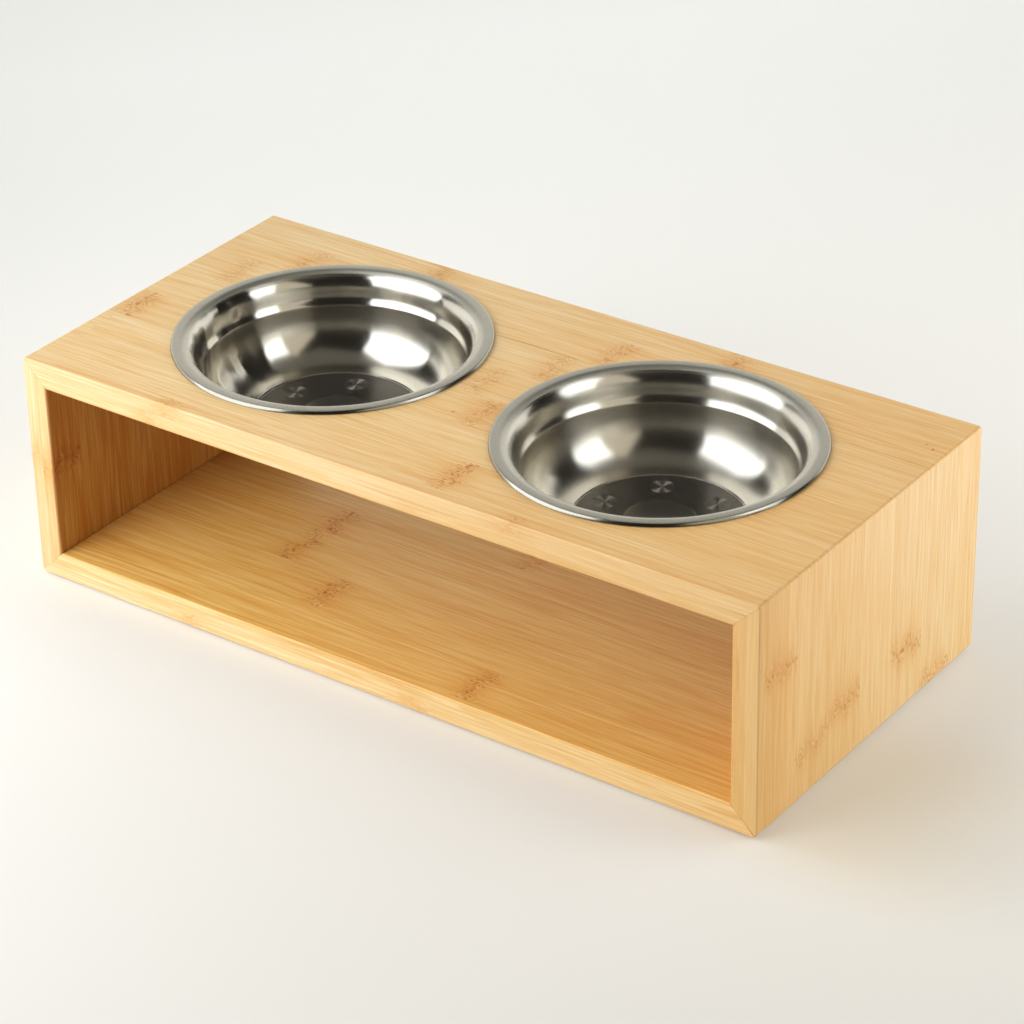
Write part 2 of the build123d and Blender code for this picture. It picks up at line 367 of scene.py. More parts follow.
class Shader:
    def __init__(self, name):
        self.mat = bpy.data.materials.new(name)
        self.mat.use_nodes = True
        self.t = self.mat.node_tree
        self.bsdf = self.t.nodes["Principled BSDF"]
        coord = self.t.nodes.new("ShaderNodeTexCoord")
        sep = self.t.nodes.new("ShaderNodeSeparateXYZ")
        self.t.links.new(coord.outputs["Object"], sep.inputs[0])
        self.x, self.y, self.z = (self.e(sep.outputs[k]) * 1000.0 for k in range(3))

    def e(self, v):
        return E(self.t, v)

    def vec(self, x, y, z=0.0):
        node = self.t.nodes.new("ShaderNodeCombineXYZ")
        for k, c in enumerate((x, y, z)):
            c = c.v if isinstance(c, E) else c
            if isinstance(c, (int, float)):
                node.inputs[k].default_value = float(c)
            else:
                self.t.links.new(c, node.inputs[k])
        return node.outputs[0]

    def noise(self, x, y, z=0.0, detail=0.0, rough=0.5, lac=2.0):
        node = self.t.nodes.new("ShaderNodeTexNoise")
        node.noise_dimensions = "3D"
        self.t.links.new(self.vec(x, y, z), node.inputs["Vector"])
        node.inputs["Scale"].default_value = 1.0
        node.inputs["Detail"].default_value = detail
        node.inputs["Roughness"].default_value = rough
        node.inputs["Lacunarity"].default_value = lac
        return self.e(node.outputs[0])

    def random(self, x, y=0.0):
        """Four random numbers that belong to a cell."""
        node = self.t.nodes.new("ShaderNodeTexWhiteNoise")
        node.noise_dimensions = "3D"
        self.t.links.new(self.vec(x, y, 0.37), node.inputs["Vector"])
        sep = self.t.nodes.new("ShaderNodeSeparateColor")
        self.t.links.new(node.outputs["Color"], sep.inputs[0])
        return [self.e(sep.outputs[k]) for k in range(3)] + [self.e(node.outputs["Value"])]

    def table(self, x, rows):
        """rows[k] = (r, g, b) for x from k/32 to (k+1)/32."""
        node = self.t.nodes.new("ShaderNodeValToRGB")
        self.t.links.new(x.v, node.inputs[0])
        ramp = node.color_ramp
        ramp.interpolation = "CONSTANT"
        rows = list(rows)
        for k, c in enumerate(rows):
            el = ramp.elements[k] if k < 2 else ramp.elements.new(k / 32)
            el.position = k / 32
            el.color = (*c, 1.0)
        sep = self.t.nodes.new("ShaderNodeSeparateColor")
        self.t.links.new(node.outputs[0], sep.inputs[0])
        return [self.e(sep.outputs[k]) for k in range(3)]

    def ramp(self, x, stops, interpolation="LINEAR"):
        node = self.t.nodes.new("ShaderNodeValToRGB")
        self.t.links.new(x.v, node.inputs[0])
        node.color_ramp.interpolation = interpolation
        for k, (p, c) in enumerate(stops):
            el = node.color_ramp.elements[k] if k < 2 else node.color_ramp.elements.new(p)
            el.position = p
            el.color = (*c, 1.0)
        return node.outputs[0]

    def mix(self, fac, a, b, blend="MIX"):
        node = self.t.nodes.new("ShaderNodeMix")
        node.data_type = "RGBA"
        node.blend_type = blend
        fac = fac.v if isinstance(fac, E) else fac
        if isinstance(fac, (int, float)):
            node.inputs[0].default_value = fac
        else:
            self.t.links.new(fac, node.inputs[0])
        for k, c in ((6, a), (7, b)):
            if isinstance(c, tuple):
                node.inputs[k].default_value = (*c, 1.0)
            else:
                self.t.links.new(c, node.inputs[k])
        return node.outputs[2]

    def pick(self, fac, a, b):
        """a where fac is 0, b where it is 1, for numbers."""
        return self.e(0.0) + (a if isinstance(a, E) else self.e(float(a))) * (1.0 - fac) + fac * b

    def bump(self, height, distance, strength=1.0, normal=None):
        node = self.t.nodes.new("ShaderNodeBump")
        node.inputs["Strength"].default_value = strength
        node.inputs["Distance"].default_value = distance
        self.t.links.new(height.v, node.inputs["Height"])
        if normal is not None:
            self.t.links.new(normal, node.inputs["Normal"])
        return node.outputs[0]

    def set(self, **values):
        for k, v in values.items():
            s = self.bsdf.inputs[k.replace("_", " ")]
            if isinstance(v, E):
                v = v.v
            if isinstance(v, (int, float)):
                s.default_value = v
            elif isinstance(v, tuple):
                s.default_value = (*v, 1.0) if len(v) == 3 and s.type == "RGBA" else v
            else:
                self.t.links.new(v, s)


def bamboo(name, seed, along, depth, half, centre, v0, knots, outer, inner, painted_light, grain=1.0, grain_in=None, seams=(), specks=()):
    """Laminated bamboo: two plies of strips 26.3 mm wide, with fibres, knuckles, glue lines and a satin lacquer.
    along: 'x' or 'z', the grain.  depth(s): mm below the outer face.  v0: first strip edge of the outer and the inner
    ply.
    knots[ply] = [(first, second, strength), ...] a strip each, from the lowest y: where the knuckles are, along the
    grain.
    outer and inner tint the two faces: painted light and shade, each board's outer face tinted lighter or darker for
    how brightly it is lit, and the inner faces darker, as the shade inside the box.  The (axis, from, to, tint, tint)
    list: painted light and shade, the colour lightened, darkened and warmed along x, y, z or a diagonal as the light
    falls across the stand."""
    s = Shader(name)
    u, v, t = (s.x if along == "x" else s.z), s.y, depth(s)
    ply = t.gt(PLY)
    lane = (v - s.pick(ply, v0[0], v0[1])) / PITCH
    index, part = lane.floor(), lane.fract()
    key = index + ply * 16.0
    rows = [(0.0, 0.0, 0.0)] * 32
    for p in (0, 1):
        for k, (a, c, q) in enumerate(knots[p]):
            code = lambda w: 0.0 if w is None else (w + 200.0) / 400.0 * 0.9 + 0.1
            rows[16 * p + k] = (code(a), code(c), q)
    k1, k2, strength = s.table((key + 0.5) / 32.0, rows)
    r1, r2, r3, r4 = s.random(key, seed)
    shift = r1 * 40.0 + seed * 3.1

    # knuckles: where they are, with an uneven line across the strip
    wob = (s.noise(v * 0.16, shift, seed) - 0.5) * 9.0 + (s.noise(v * 0.7, shift, seed + 3.0) - 0.5) * 5.0
    at = lambda k: (k - 0.1) / 0.9 * 400.0 - 200.0
    d1, d2 = u - at(k1) - wob, u - at(k2) - wob
    on1, on2 = k1.gt(0.05) * strength, k2.gt(0.05) * strength * 0.85
    near = on1 * d1.bell(3.4) + on2 * d2.bell(3.4)
    mid = on1 * d1.bell(6.5) + on2 * d2.bell(6.5)
    wide = on1 * d1.bell(16.0) + on2 * d2.bell(16.0)

    # fibres bend round a knuckle, and wander a little elsewhere
    swirl = (s.noise(u * 0.22, v * 0.30, shift) - 0.5) * mid.min(1.0) * 5.0
    drift = (s.noise(u * 0.012, v * 0.05, shift) - 0.5) * 2.6 + (s.noise(u * 0.06, v * 0.12, shift + 5.0) - 0.5) * wide * 2.5
    w = v + swirl + drift
    far = shift + d1.gt(0.0) * 0.9
    f0 = s.noise(u * 0.007, v * 0.035, t * 0.035 + shift, detail=1.0)
    f1 = s.noise(u * 0.0085 + far, w * 0.30, t * 0.30 + shift, detail=1.0)
    f2 = s.noise(u * 0.024 + far, w * 0.82, t * 0.82 + shift, detail=1.0, rough=0.6)
    f3 = s.noise(u * 0.050 + far, w * 2.1, t * 2.1 + shift, detail=1.0, rough=0.6)
    f4 = s.noise(u * 0.14 + far, w * 2.3, t * 2.3, detail=0.0)
    f5 = s.noise(u * 0.030 + far + 9.0, w * 1.05, t * 1.05 + shift)
    f6 = s.noise(u * 0.026 + far + 17.0, w * 0.90, t * 0.90 + shift)

    if grain_in:
        # the inner face has darker, harder lines than the outer one
        grain = t.step(T - 2.0, T - 0.6) * (grain_in - grain) + grain
    tone = (((f1 - 0.5) * 0.34 + (f2 - 0.5) * 0.62 + (f0 - 0.5) * 0.30) * grain + (f3 - 0.5) * 0.46
            + (r2 - 0.5) * 0.12 + 0.5)
    tone = tone - f4.step(0.62, 0.80) * 0.05 - mid.min(1.0) * 0.03
    col = s.ramp(tone, [
        (0.18, (0.725, 0.400, 0.130)),
        (0.38, (0.796, 0.510, 0.208)),
        (0.52, (0.828, 0.578, 0.272)),
        (0.68, (0.858, 0.642, 0.345)),
        (0.88, (0.892, 0.712, 0.430)),
    ])
    # thin orange fibres and thin pale ones
    col = s.mix(f5.step(0.56, 0.72) * 0.50 * grain, col, (0.790, 0.470, 0.165))
    col = s.mix(f6.step(0.56, 0.72) * 0.42 * grain, col, (0.905, 0.745, 0.480))
    # each strip leans a little to orange or to yellow
    col = s.mix(r3 * 0.8, col, (1.0, 0.955, 0.88), "MULTIPLY")
    # the faces: outer and inner tints, painted light and shade (the inner faces darker, as the shade inside the box);
    # the cut edges at the front and the back paler, partly their own tone and partly painted light
    col = s.mix(t.step(1.0, 0.3), col, outer, "MULTIPLY")
    col = s.mix(t.step(T - 1.6, T - 0.5), col, inner, "MULTIPLY")
    cut_edge_and_painted_light = s.y.abs().step(HALF_D - 0.95, HALF_D - 0.2)
    col = s.mix(cut_edge_and_painted_light * (0.26 + ply * -0.16), col, (0.93, 0.78, 0.52))
    # painted light and shade: the colour lightened, darkened and warmed along x, y, z or a diagonal, as the light falls
    # across the stand; on the storage floor this paints a dark corner at the back left and a darker back
    for axis, lo, hi, tint_lo, tint_hi in painted_light:
        col = s.mix(1.0, col, s.mix({"x": s.x, "y": s.y, "z": s.z, "d": s.x * 0.8 + s.y * -0.6}[axis].step(lo, hi), tint_lo, tint_hi), "MULTIPLY")

    # knuckles: a brown haze, short dark fibre ends and pale ones between them
    soft = part.min(1.0 - part).step(0.0, 0.22) * 0.7 + 0.3
    col = s.mix(wide.min(1.0) * soft * 0.38, col, (0.97, 0.88, 0.74), "MULTIPLY")
    col = s.mix(mid.min(1.0) * soft * 0.68, col, (0.92, 0.75, 0.53), "MULTIPLY")
    spots = s.noise(u * 0.40 + shift, (w + swirl * 0.6) * 1.15, t * 1.2 + 7.0, detail=1.0, rough=0.6)
    pale = s.noise(u * 0.30 + shift, (w + swirl * 0.6) * 1.05, t * 1.2 + 19.0, detail=1.0, rough=0.6)
    dark_end = spots.step(0.495, 0.61) * near.min(1.0) * (1.0 - cut_edge_and_painted_light * 0.6)
    pale_end = pale.step(0.52, 0.66) * mid.min(1.0)
    col = s.mix(pale_end * 0.55, col, (1.12, 1.16, 1.26), "MULTIPLY")
    col = s.mix(dark_end * 0.90, col, (0.64, 0.43, 0.25), "MULTIPLY")

    # glue lines: between strips, between plies, at the mitres
    ds = part.min(1.0 - part) * PITCH
    line = ds.step(0.24, 0.04) * (0.10 + s.noise(u * 0.02, index * 7.3, ply * 5.0 + seed).step(0.50, 0.66) * 0.36)
    line = line * s.y.abs().step(HALF_D - 2.5, HALF_D - 6.0)
    line = line.max((t - PLY).abs().step(0.22, 0.03) * (0.08 + s.noise(u * 0.03, v * 0.03, seed + 9.0).step(0.5, 0.7) * 0.30))
    mitre = ((u - centre).abs() + t - half).abs().step(0.16, 0.02) * 0.36
    for sv, a, c, q in seams:
        inside = u.step(a - 3.0, a + 3.0) * u.step(c + 3.0, c - 3.0) * t.step(1.2, 0.2)
        wave = (s.noise(u * 0.05, 3.0, sv) - 0.5) * 0.9
        line = line.max((v - sv - wave).abs().step(0.34, 0.06) * inside * q)
    for su, sv, ru, rv, q in specks:
        a, c = (u - su) * (1.0 / ru), (v - sv) * (1.0 / rv)
        line = line.max((a * a + c * c).step(1.0, 0.25) * t.step(1.2, 0.2) * q)
    line = line.max(mitre)
    col = s.mix(line * 0.95, col, (0.50, 0.36, 0.25), "MULTIPLY")

    # lacquer: satin, a little uneven, with the fibres showing through it
    cloud = s.noise(s.x * 0.02, s.y * 0.02, s.z * 0.02 + seed, detail=2.0)
    rough = 0.385 + (cloud - 0.5) * 0.10 - (f3 - 0.5) * 0.10 + near.min(1.0) * 0.10 + line * 0.25
    height = f3 * 0.6 + f4 * 0.3 - dark_end * 0.9 - line * 1.6
    s.set(Base_Color=col, Roughness=rough, IOR=1.5, Specular_IOR_Level=0.5,
          Normal=s.bump(height, 0.00003, 0.9))
    return s.mat


STEEL = (0.645, 0.614, 0.545)


def steel(name, centre, colour, rough, blur, aniso, satin=None, haze_and_shade=0.0, folds=0.0, brush=1.0, spots=None, lip=None, dull=False):
    """Pressed stainless steel, polished on a lathe: the polishing lines run round the bowl, and smear its
    reflections across them.  satin = roughness of the rim, which fades into the polished inside.
    spots = (radius of their circle, first angle, radius): six ground marks, each with its own round polishing."""
    s = Shader(name)
    x, y, z = s.x - centre[0], s.y - centre[1], s.z
    r = (x * x + y * y).sqrt()
    ang = y.atan2(x)
    tx, ty = -y, x
    inside = None
    if dull:
        # ground without a direction
        tx = s.noise(s.x * 2.3, s.y * 2.3, 5.0, detail=1.0) - 0.5
        ty = s.noise(s.x * 2.3, s.y * 2.3, 25.0, detail=1.0) - 0.5
    if spots:
        ring, first, size = spots
        sector = ((ang - first) * (3.0 / math.pi) + 0.5).floor() * (math.pi / 3.0) + first
        sx, sy = x - sector.cos() * ring, y - sector.sin() * ring
        sr = (sx * sx + sy * sy).sqrt()
        inside = sr.step(size + 0.15, size - 0.15)
        tx = s.pick(inside, tx, -sy)
        ty = s.pick(inside, ty, sx)
    # fine lines round the axis, fine lines round each ground mark, and soft waves of the pressing
    lines = s.noise(r * 5.5, ang * 0.8, z * 5.5, detail=1.0)
    lines = lines * 0.5 + s.noise(r * 14.0, ang * 1.6, z * 14.0, detail=0.0) * 0.5
    if spots:
        lines = s.pick(inside, lines, s.noise(sr * 9.0, 3.0, 1.0, detail=1.0))
    hair = s.noise(s.x * 0.9, s.y * 0.9, s.z * 0.9, detail=1.0)
    press = s.noise(s.x * 0.055, s.y * 0.055, s.z * 0.055, detail=1.0)
    smear = s.noise(s.x * 0.03 + 4.0, s.y * 0.03, s.z * 0.03, detail=3.0)
    base = rough
    if satin:
        # the top of the wall is brushed, and the rim satin
        base = rough + r.step(66.0, 67.8) * (satin - rough) + z.step(Z1 - 31, Z1 - 23) * z.step(Z1 - 12.6, Z1 - 13.6) * haze_and_shade
    if lip:
        fade = r.step(74.2, 74.6)
        base = rough + fade * (lip - rough)
    roughness = (smear - 0.5) * blur + (lines - 0.5) * 0.04 + (hair - 0.5) * 0.02 + base
    if spots:
        roughness = roughness + inside * 0.18
    mottle = s.noise(s.x * 0.7, s.y * 0.7, s.z * 0.7 + 3.0, detail=2.0)
    col = s.mix((smear - 0.35) * 0.5, colour, tuple(c * 0.92 for c in colour))
    if haze_and_shade:
        # painted shade: the colour darkened in the band under the ledge, where the wall reflects dark
        col = s.mix(z.step(Z1 - 23, Z1 - 15) * z.step(Z1 - 12.8, Z1 - 13.6) * 0.6, col, (0.55, 0.53, 0.50), "MULTIPLY")
    if lip:
        col = s.mix(mottle.step(0.40, 0.62) * 0.10, col, tuple(c * 0.55 for c in colour))
        # painted shade: the rolled outer edge of the rim darkened, as the shade where it meets the board
        col = s.mix(fade * 0.75, col, (0.55, 0.55, 0.55), "MULTIPLY")
    if spots:
        # painted highlight: the ground marks painted lighter than the dark bottom round them
        col = s.mix(inside * 0.8, col, tuple(c * 1.75 for c in colour))
    height = lines * 0.35 * brush + press * 9.0
    if folds:
        # the wall at the left has sprung a little out of round
        side = ((x * -0.87 + y * -0.49) / r).step(0.66, 0.90) * z.step(Z1 - 42, Z1 - 30)
        height = height + s.noise(s.x * 0.050, s.y * 0.080, s.z * 0.035 + 2.0, detail=0.5) * side * folds
    s.set(Base_Color=col, Metallic=1.0, Roughness=roughness, Anisotropic=aniso, Anisotropic_Rotation=0.25,
          Tangent=s.vec(tx, ty, 0.0), Normal=s.bump(height, 0.000004, 1.0))
    return s.mat


def rubber(name):
    s = Shader(name)
    grain = s.noise(s.x * 3.0, s.y * 3.0, s.z * 3.0, detail=3.0)
    dust = s.noise(s.x * 0.3, s.y * 0.3, s.z * 0.3, detail=2.0)
    col = s.mix(dust.step(0.4, 0.75) * 0.5, (0.085, 0.083, 0.080), (0.16, 0.15, 0.135))
    s.set(Base_Color=col, Roughness=0.78 + (grain - 0.5) * 0.2, Normal=s.bump(grain, 0.00005, 0.6))
    return s.mat


def raw_bamboo(name):
    """The glued tongues in the mitres: sawn, unlacquered."""
    s = Shader(name)
    f = s.noise(s.x * 1.2, s.y * 0.03, s.z * 1.2, detail=2.0)
    g = s.noise(s.x * 3.0, s.y * 0.2, s.z * 3.0, detail=1.0)
    col = s.ramp(f * 0.7 + g * 0.3, [(0.3, (0.50, 0.27, 0.10)), (0.5, (0.66, 0.42, 0.18)), (0.75, (0.76, 0.54, 0.28))])
    s.set(Base_Color=col, Roughness=0.72 + (g - 0.5) * 0.2, Normal=s.bump(g, 0.00006, 0.6))
    return s.mat


# Where the knuckles are, strip by strip from the front (lowest y), in mm along
# the grain: (first, second, strength).  None is a strip without one in reach.
TOP_OUT = [(-115, 75, 0.75), (32.5, None, 1.0), (-192, 8, 0.0), (-190, 10, 0.9), (-7.5, None, 0.55),
           (12.5, -172, 0.7), (27.5, -150, 0.7), (-90, 77.5, 0.9), (40, -140, 0.8)]
TOP_IN = [(-128, None, 0.6), (-150, 35, 0.8), (90, -95, 0.7), (-20, 165, 0.8), (60, -130, 0.8),
          (-175, 5, 0.7), (140, -50, 0.8), (-110, 80, 0.8), (20, None, 0.7)]
BOT_IN = [(44, None, 1.0), (-59.5, None, 1.0), (-97, None, 1.0), (-95, None, 1.0), (3, -185, 0.7),
          (-160, None, 0.8), (-30, 150, 0.8), (110, -70, 0.7), (0, None, 0.7)]
BOT_OUT = [(-107, 20, 0.75), (-40, 140, 0.8), (95, -100, 0.8), (-160, 30, 0.8), (70, -120, 0.7),
           (-20, 170, 0.8), (130, -60, 0.8), (-85, 100, 0.7), (0, None, 0.7)]
# on the upright boards the grain is z
RIGHT_OUT = [(None, None, 0.0), (75.8, None, 0.6), (24, None, 0.55), (31.7, None, 0.7), (None, None, 0.0), (31.7, None, 0.8),
             (5.8, None, 0.7), (None, None, 0.0), (60, None, 0.6)]
RIGHT_IN = [(None, None, 0.0), (None, None, 0.0), (88, None, 0.6), (20, None, 0.6), (None, None, 0.0), (66, None, 0.6),
            (None, None, 0.0), (35, None, 0.6), (None, None, 0.0)]
LEFT_IN = [(61, None, 0.9), (None, None, 0.0), (None, None, 0.0), (96, None, 0.6), (None, None, 0.0), (40, None, 0.5),
           (None, None, 0.0), (72, None, 0.5), (None, None, 0.0)]
LEFT_OUT = [(66, None, 0.7), (30, None, 0.7), (None, None, 0.0), (84, None, 0.7), (18, None, 0.6), (None, None, 0.0),
            (52, None, 0.7), (None, None, 0.0), (97, None, 0.6)]

# Painted light and shade in the tints below: the inside tint darkens the inner faces, as the shade in the box, and the
# left board's inner face much more; each board's outer tint evens it to how it is lit; the tint lists paint the light
# falling across each board, with a darker back and a dark back-left corner on the storage floor.
INSIDE_SHADE = (1.0, 0.865, 0.575)
mat_top = bamboo("bamboo_top", 1.0, "x", lambda s: Z1 - s.z, HALF_L, 0.0, (-85.6 - PITCH, -101.0), (TOP_OUT, TOP_IN),
                 (0.905, 0.880, 0.835), INSIDE_SHADE, [("x", -140, 200, (1.0, 1.0, 1.0), (0.92, 0.83, 0.70))],
                 seams=[(46.4, -30, 16, 0.85), (46.2, 158, 200, 0.8), (-1.2, -19, 17, 0.7)],
                 specks=[(-2.5, -25.5, 1.1, 0.6, 0.9), (192.5, 61.0, 0.7, 1.2, 0.8), (188, 63.5, 0.8, 0.6, 0.7)])
mat_bottom = bamboo("bamboo_bottom", 2.0, "x", lambda s: s.z - Z0, HALF_L, 0.0, (-97.0, -89.05), (BOT_OUT, BOT_IN),
                    (0.97, 0.95, 0.92), (0.97, 0.857, 0.548), [("d", -195, -98, (0.50, 0.36, 0.24), (1.03, 1.055, 1.05)), ("x", -160, 200, (0.97, 0.94, 0.90), (0.94, 0.83, 0.68)), ("y", -92, 50, (1.05, 1.07, 1.06), (0.88, 0.88, 0.88))], grain=1.35, specks=[(-112, -91.0, 3.0, 0.6, 0.5)])
mat_left = bamboo("bamboo_left", 3.0, "z", lambda s: s.x + HALF_L, HALF_H, MID_Z, (-104.0, -99.0), (LEFT_OUT, LEFT_IN),
                  (0.98, 0.97, 0.95), (0.58, 0.355, 0.135), [("y", -90, 90, (1.06, 1.12, 1.10), (0.92, 0.86, 0.80)), ("y", -91, -85, (0.943, 0.86, 0.83), (1.0, 1.0, 1.0))], grain=1.1, grain_in=2.4)
mat_right = bamboo("bamboo_right", 4.0, "z", lambda s: HALF_L - s.x, HALF_H, MID_Z, (-88.1 - PITCH, -95.0), (RIGHT_OUT, RIGHT_IN),
                   (1.0, 1.0, 1.0), INSIDE_SHADE, [("y", -92, 92, (1.0, 0.90, 0.76), (1.07, 1.10, 1.20)), ("z", 5, 110, (0.985, 0.985, 0.93), (1.0, 1.0, 1.03)), ("y", -85, -64, (0.92, 0.87, 0.77), (1.0, 1.0, 1.0))], grain=0.75)
mat_tongue = raw_bamboo("bamboo_raw")
mat_pad = rubber("pad_rubber")


# =================================================================== boards
def mitre_gap(t, y):
    """The outer plies have opened a hair at the front lower right corner."""
    a = max(0.0, 1 - t / PLY)
    c = max(0.0, 1 - (y + HALF_D) / 9.0)
    return 0.20 * min(1.0, a * 1.6) * c


top = board("top_board", HALF_L, R_TOP, R_TOP,
            lambda l, t, y: (l, y, Z1 - t), lambda nl, nt, ny: (nl, ny, -nt), mat_top,
            holes=((-CUT_X, CUT_Y, CUT_R), (CUT_X, CUT_Y, CUT_R)))
bottom = board("bottom_board", HALF_L, R_BOTTOM, R_BOTTOM,
               lambda l, t, y: (l, y, Z0 + t), lambda nl, nt, ny: (nl, ny, nt), mat_bottom, gaps={"+": mitre_gap})
left = board("left_board", HALF_H, R_TOP, R_BOTTOM,
             lambda l, t, y: (-HALF_L + t, y, MID_Z + l), lambda nl, nt, ny: (nt, ny, nl), mat_left)
right = board("right_board", HALF_H, R_TOP, R_BOTTOM,
              lambda l, t, y: (HALF_L - t, y, MID_Z + l), lambda nl, nt, ny: (-nt, ny, nl), mat_right, gaps={"-": mitre_gap})
for piece, node in ((top, "top_panel"), (bottom, "bottom_panel"), (left, "left_panel"), (right, "right_panel")):
    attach(piece, "stand")
    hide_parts(node)

for node in ("mitre_spline_top_left", "mitre_spline_top_right", "mitre_spline_bottom_left", "mitre_spline_bottom_right"):
    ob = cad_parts[node]
    ob.data.materials.clear()
    ob.data.materials.append(mat_tongue)


# ==================================================================== bowls
def filleted(points, radii, step=0.25):
    """A polyline (r, z) with its inner corners rounded, as close points with the true normals' directions."""
    P = [np.array(p, float) for p in points]
    out = [P[0]]
    for i in range(1, len(P) - 1):
        a, p, c, r = P[i - 1], P[i], P[i + 1], radii[i - 1]
        e0, e1 = (a - p) / np.linalg.norm(a - p), (c - p) / np.linalg.norm(c - p)
        ang = math.acos(max(-1, min(1, float(e0 @ e1))))
        if r <= 0 or math.pi - ang < 1e-4:
            out.append(p)
            continue
        tl = r / math.tan(ang / 2)
        w = (e0 + e1) / np.linalg.norm(e0 + e1)
        cen = p + w * (r / math.sin(ang / 2))
        s0, s1 = p + e0 * tl - cen, p + e1 * tl - cen
        a0, a1 = math.atan2(s0[1], s0[0]), math.atan2(s1[1], s1[0])
        d = (a1 - a0 + math.pi) % (2 * math.pi) - math.pi
        m = max(4, int(math.ceil(abs(d) * r / (0.22 if r < 4 else 0.9))))
        for k in range(m + 1):
            out.append(cen + r * np.array([math.cos(a0 + d * k / m), math.sin(a0 + d * k / m)]))
    out.append(P[-1])
    return np.array(out)


def finer(Q, longest):
    out = [Q[0]]
    for a, c in zip(Q[:-1], Q[1:]):
        m = max(1, int(math.ceil(np.linalg.norm(c - a) / longest)))
        out += [a + (c - a) * k / m for k in range(1, m + 1)]
    return np.array(out)


def side_normals(Q):
    """Normals of a polyline, to the left of its direction."""
    seg = np.diff(Q, axis=0)
    ln = np.linalg.norm(seg, axis=1)
    n = np.stack([-seg[:, 1], seg[:, 0]], 1) / ln[:, None]
    out = np.zeros_like(Q)
    out[:-1] += n / ln[:, None]
    out[1:] += n / ln[:, None]
    return out / np.linalg.norm(out, axis=1)[:, None]


SHEET = 0.7
RIM_R, RIM_H = 75.2, 1.7
WALL = [(75.18, 0.0), (75.18, 0.3), (74.62, RIM_H), (69.66, RIM_H), (64.27, -1.31), (63.01, -10.28), (61.1, -13.0), (60.0, -38.4),
        (40.3, -38.5), (39.45, -38.85), (17.3, -38.85), (16.0, -38.5), (0.0, -38.5)]
WALL_R = [0.4, 0.7, 4.8, 9.0, 6.0, 1.2, 20.2, 0.5, 0.5, 1.4, 1.4]
RING_R, SPOT_R = 29.0, 5.8


def bowl(name, node, first_spot, mats):
    lo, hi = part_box(node)
    Q = finer(filleted(WALL, WALL_R), 1.3)
    N = side_normals(Q)                    # the path runs from the rim inwards
    if N[len(Q) // 2][1] < 0:
        N = -N
    N[-1] = (0.0, 1.0)
    under = Q - N * SHEET
    under[-1][0] = 0.0
    path = [tuple(p) for p in Q[::-1]] + [tuple(p) for p in under]
    nrm = [(tuple(N[::-1][i]), tuple(N[::-1][i + 1])) for i in range(len(Q) - 1)]
    nrm += [((0.0, -1.0), (0.0, -1.0))]
    nrm += [(tuple(-N[i]), tuple(-N[i + 1])) for i in range(len(Q) - 1)]
    mid = [((path[i][0] + path[i + 1][0]) / 2, (path[i][1] + path[i + 1][1]) / 2) for i in range(len(path) - 1)]
    mats_of = []
    for i, (r, z) in enumerate(mid):
        if i >= len(Q) - 1:
            mats_of.append(3)              # underside and the cut end of the lip
        elif r > 67.3:
            mats_of.append(1)              # flange
        elif r < 16.2:
            mats_of.append(4)              # raised middle of the bottom
        elif r < 39.3:
            mats_of.append(2)              # bottom
        else:
            mats_of.append(0)              # wall and the fold of the rim
    path = [(r, Z1 + z) for r, z in path]

    def dip(r, z, ang):
        """The ground marks are a few hundredths of a millimetre deep."""
        if z > Z1 - 36 or not RING_R - SPOT_R - 1 < r < RING_R + SPOT_R + 1:
            return np.zeros_like(ang)
        k = np.round((ang - first_spot) / (math.pi / 3))
        s = first_spot + k * math.pi / 3
        d = np.hypot(r * np.cos(ang) - RING_R * np.cos(s), r * np.sin(ang) - RING_R * np.sin(s))
        x = np.maximum(0.0, 1 - (d / SPOT_R) ** 2)
        return -0.05 * x * x

    b = Build()
    b.lathe(((lo.x + hi.x) / 2 / MM, (lo.y + hi.y) / 2 / MM), path, nrm, mats_of, 256, dip)
    return b.object(name, mats)


BOWL_C = {}
for node in ("bowl_left", "bowl_right"):
    lo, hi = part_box(node)
    BOWL_C[node] = ((lo.x + hi.x) / 2 / MM, (lo.y + hi.y) / 2 / MM)

for node, name, first, wall_rough, wall_aniso in (("bowl_left", "steel_bowl_left", math.radians(-11.0), 0.175, 0.97),
                                                  ("bowl_right", "steel_bowl_right", math.radians(1.0), 0.22, 0.94)):
    c = BOWL_C[node]
    mats = [
        steel(node + "_wall", c, STEEL, wall_rough, 0.04, wall_aniso, satin=0.42, haze_and_shade=0.02,
              folds=420.0 if node == "bowl_left" else 0.0),
        steel(node + "_flange", c, (0.625, 0.60, 0.515), 0.42, 0.06, 0.25, brush=2.0, lip=0.20),
        # painted shade: the bottom's steel painted far darker than steel, and its raised middle darker too, for the
        # dark they reflect
        steel(node + "_bottom", c, (0.168, 0.152, 0.131), 0.42, 0.03, 0.90, spots=(RING_R, first, SPOT_R), dull=True),
        steel(node + "_underside", c, (0.60, 0.58, 0.54), 0.34, 0.08, 0.4, brush=2.0),
        steel(node + "_hub", c, (0.42, 0.398, 0.355), 0.36, 0.05, 0.0),
    ]
    ob = bowl(name, node, first, mats)
    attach(ob, node)
    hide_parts(node)


